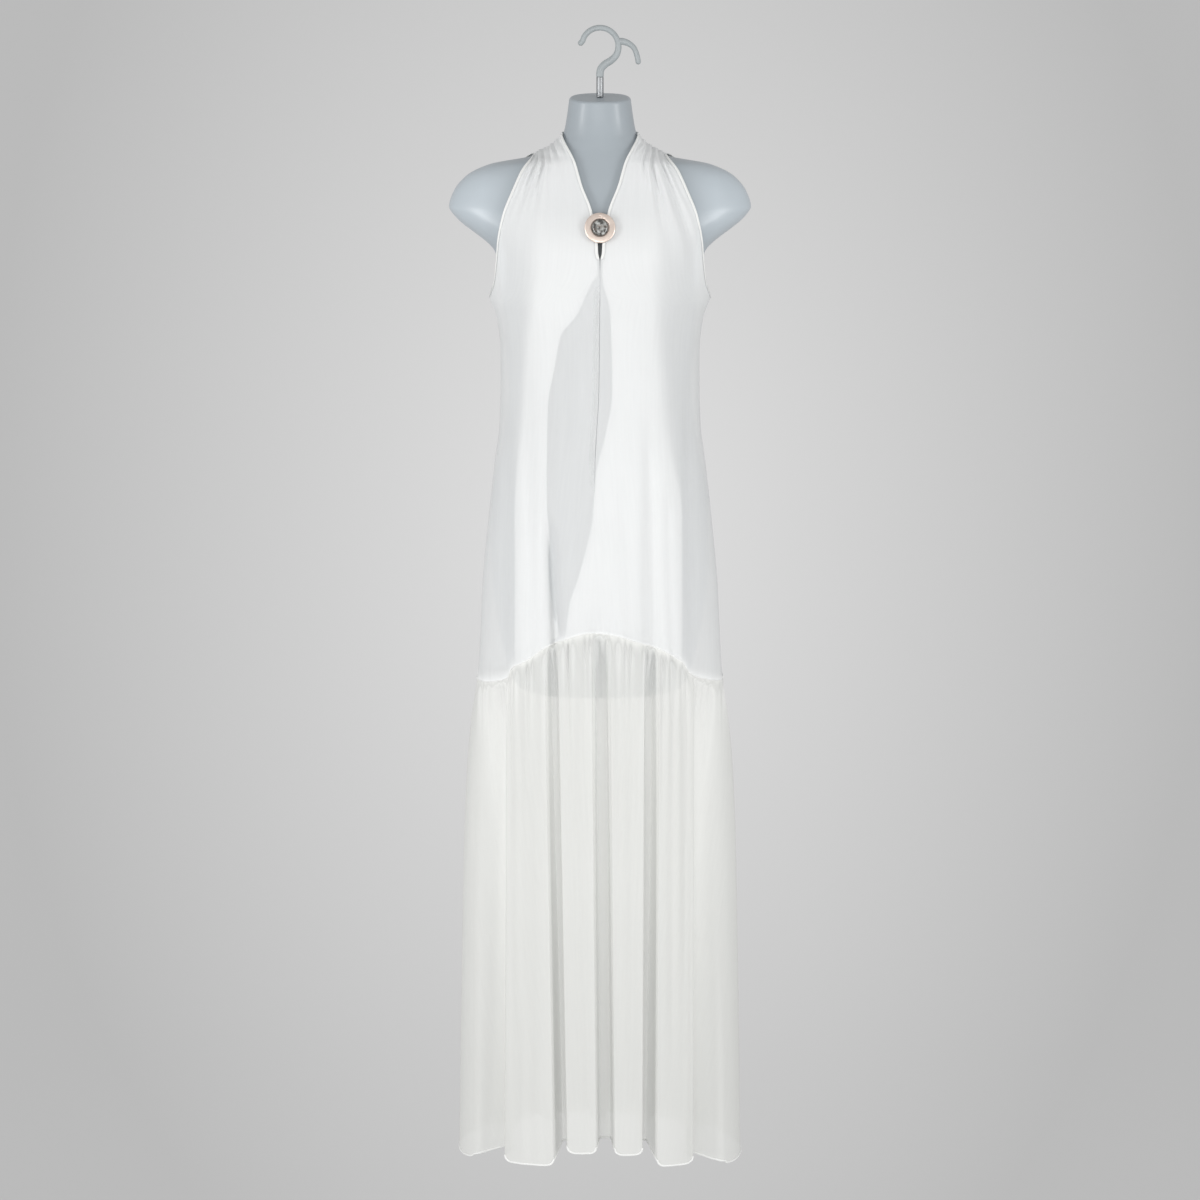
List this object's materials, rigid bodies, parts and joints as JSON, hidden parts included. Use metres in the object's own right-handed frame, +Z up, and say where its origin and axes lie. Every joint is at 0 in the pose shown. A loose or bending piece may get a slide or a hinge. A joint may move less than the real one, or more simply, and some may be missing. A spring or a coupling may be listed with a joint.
{
  "type": "maxi dress on a hanging dress form",
  "caption": "Sleeveless V-neck maxi dress with a gathered skirt tier and a ring brooch, worn on a limbless plastic form that hangs from a hook.",
  "frame": {"origin": "underside of the hook's crown, where a rail carries it", "axes": "+Z up, -Y out of the front of the dress, +X to the right of someone looking at the front"},
  "size_m": [0.4168, 0.2721, 1.5886],
  "materials": {
    "form_plastic": "satin",
    "stem_metal": "polished",
    "hook_plastic": "satin",
    "skirt_cloth": "sheer, fine weave",
    "bodice_cloth": "semi-sheer, fine weave",
    "lining_cloth": "opaque, soft sheen",
    "binding_cloth": "smooth narrow binding",
    "brooch_metal": "polished rose gold plate",
    "brooch_stone": "polished"
  },
  "bodies": {
    "root": {"form_torso": "form_plastic", "hook_stem": "stem_metal", "hook": "hook_plastic", "skirt_front": "skirt_cloth", "skirt_back": "skirt_cloth", "front_left": "bodice_cloth", "front_right": "bodice_cloth", "back": "bodice_cloth", "lining_left": "lining_cloth", "lining_right": "lining_cloth", "neck_binding_left": "binding_cloth", "neck_binding_right": "binding_cloth", "neck_binding_back": "binding_cloth", "armhole_binding_front_left": "binding_cloth", "armhole_binding_front_right": "binding_cloth", "armhole_binding_back_left": "binding_cloth", "armhole_binding_back_right": "binding_cloth", "brooch_ring": "brooch_metal", "brooch_stone": "brooch_stone"}
  },
  "joints": []
}
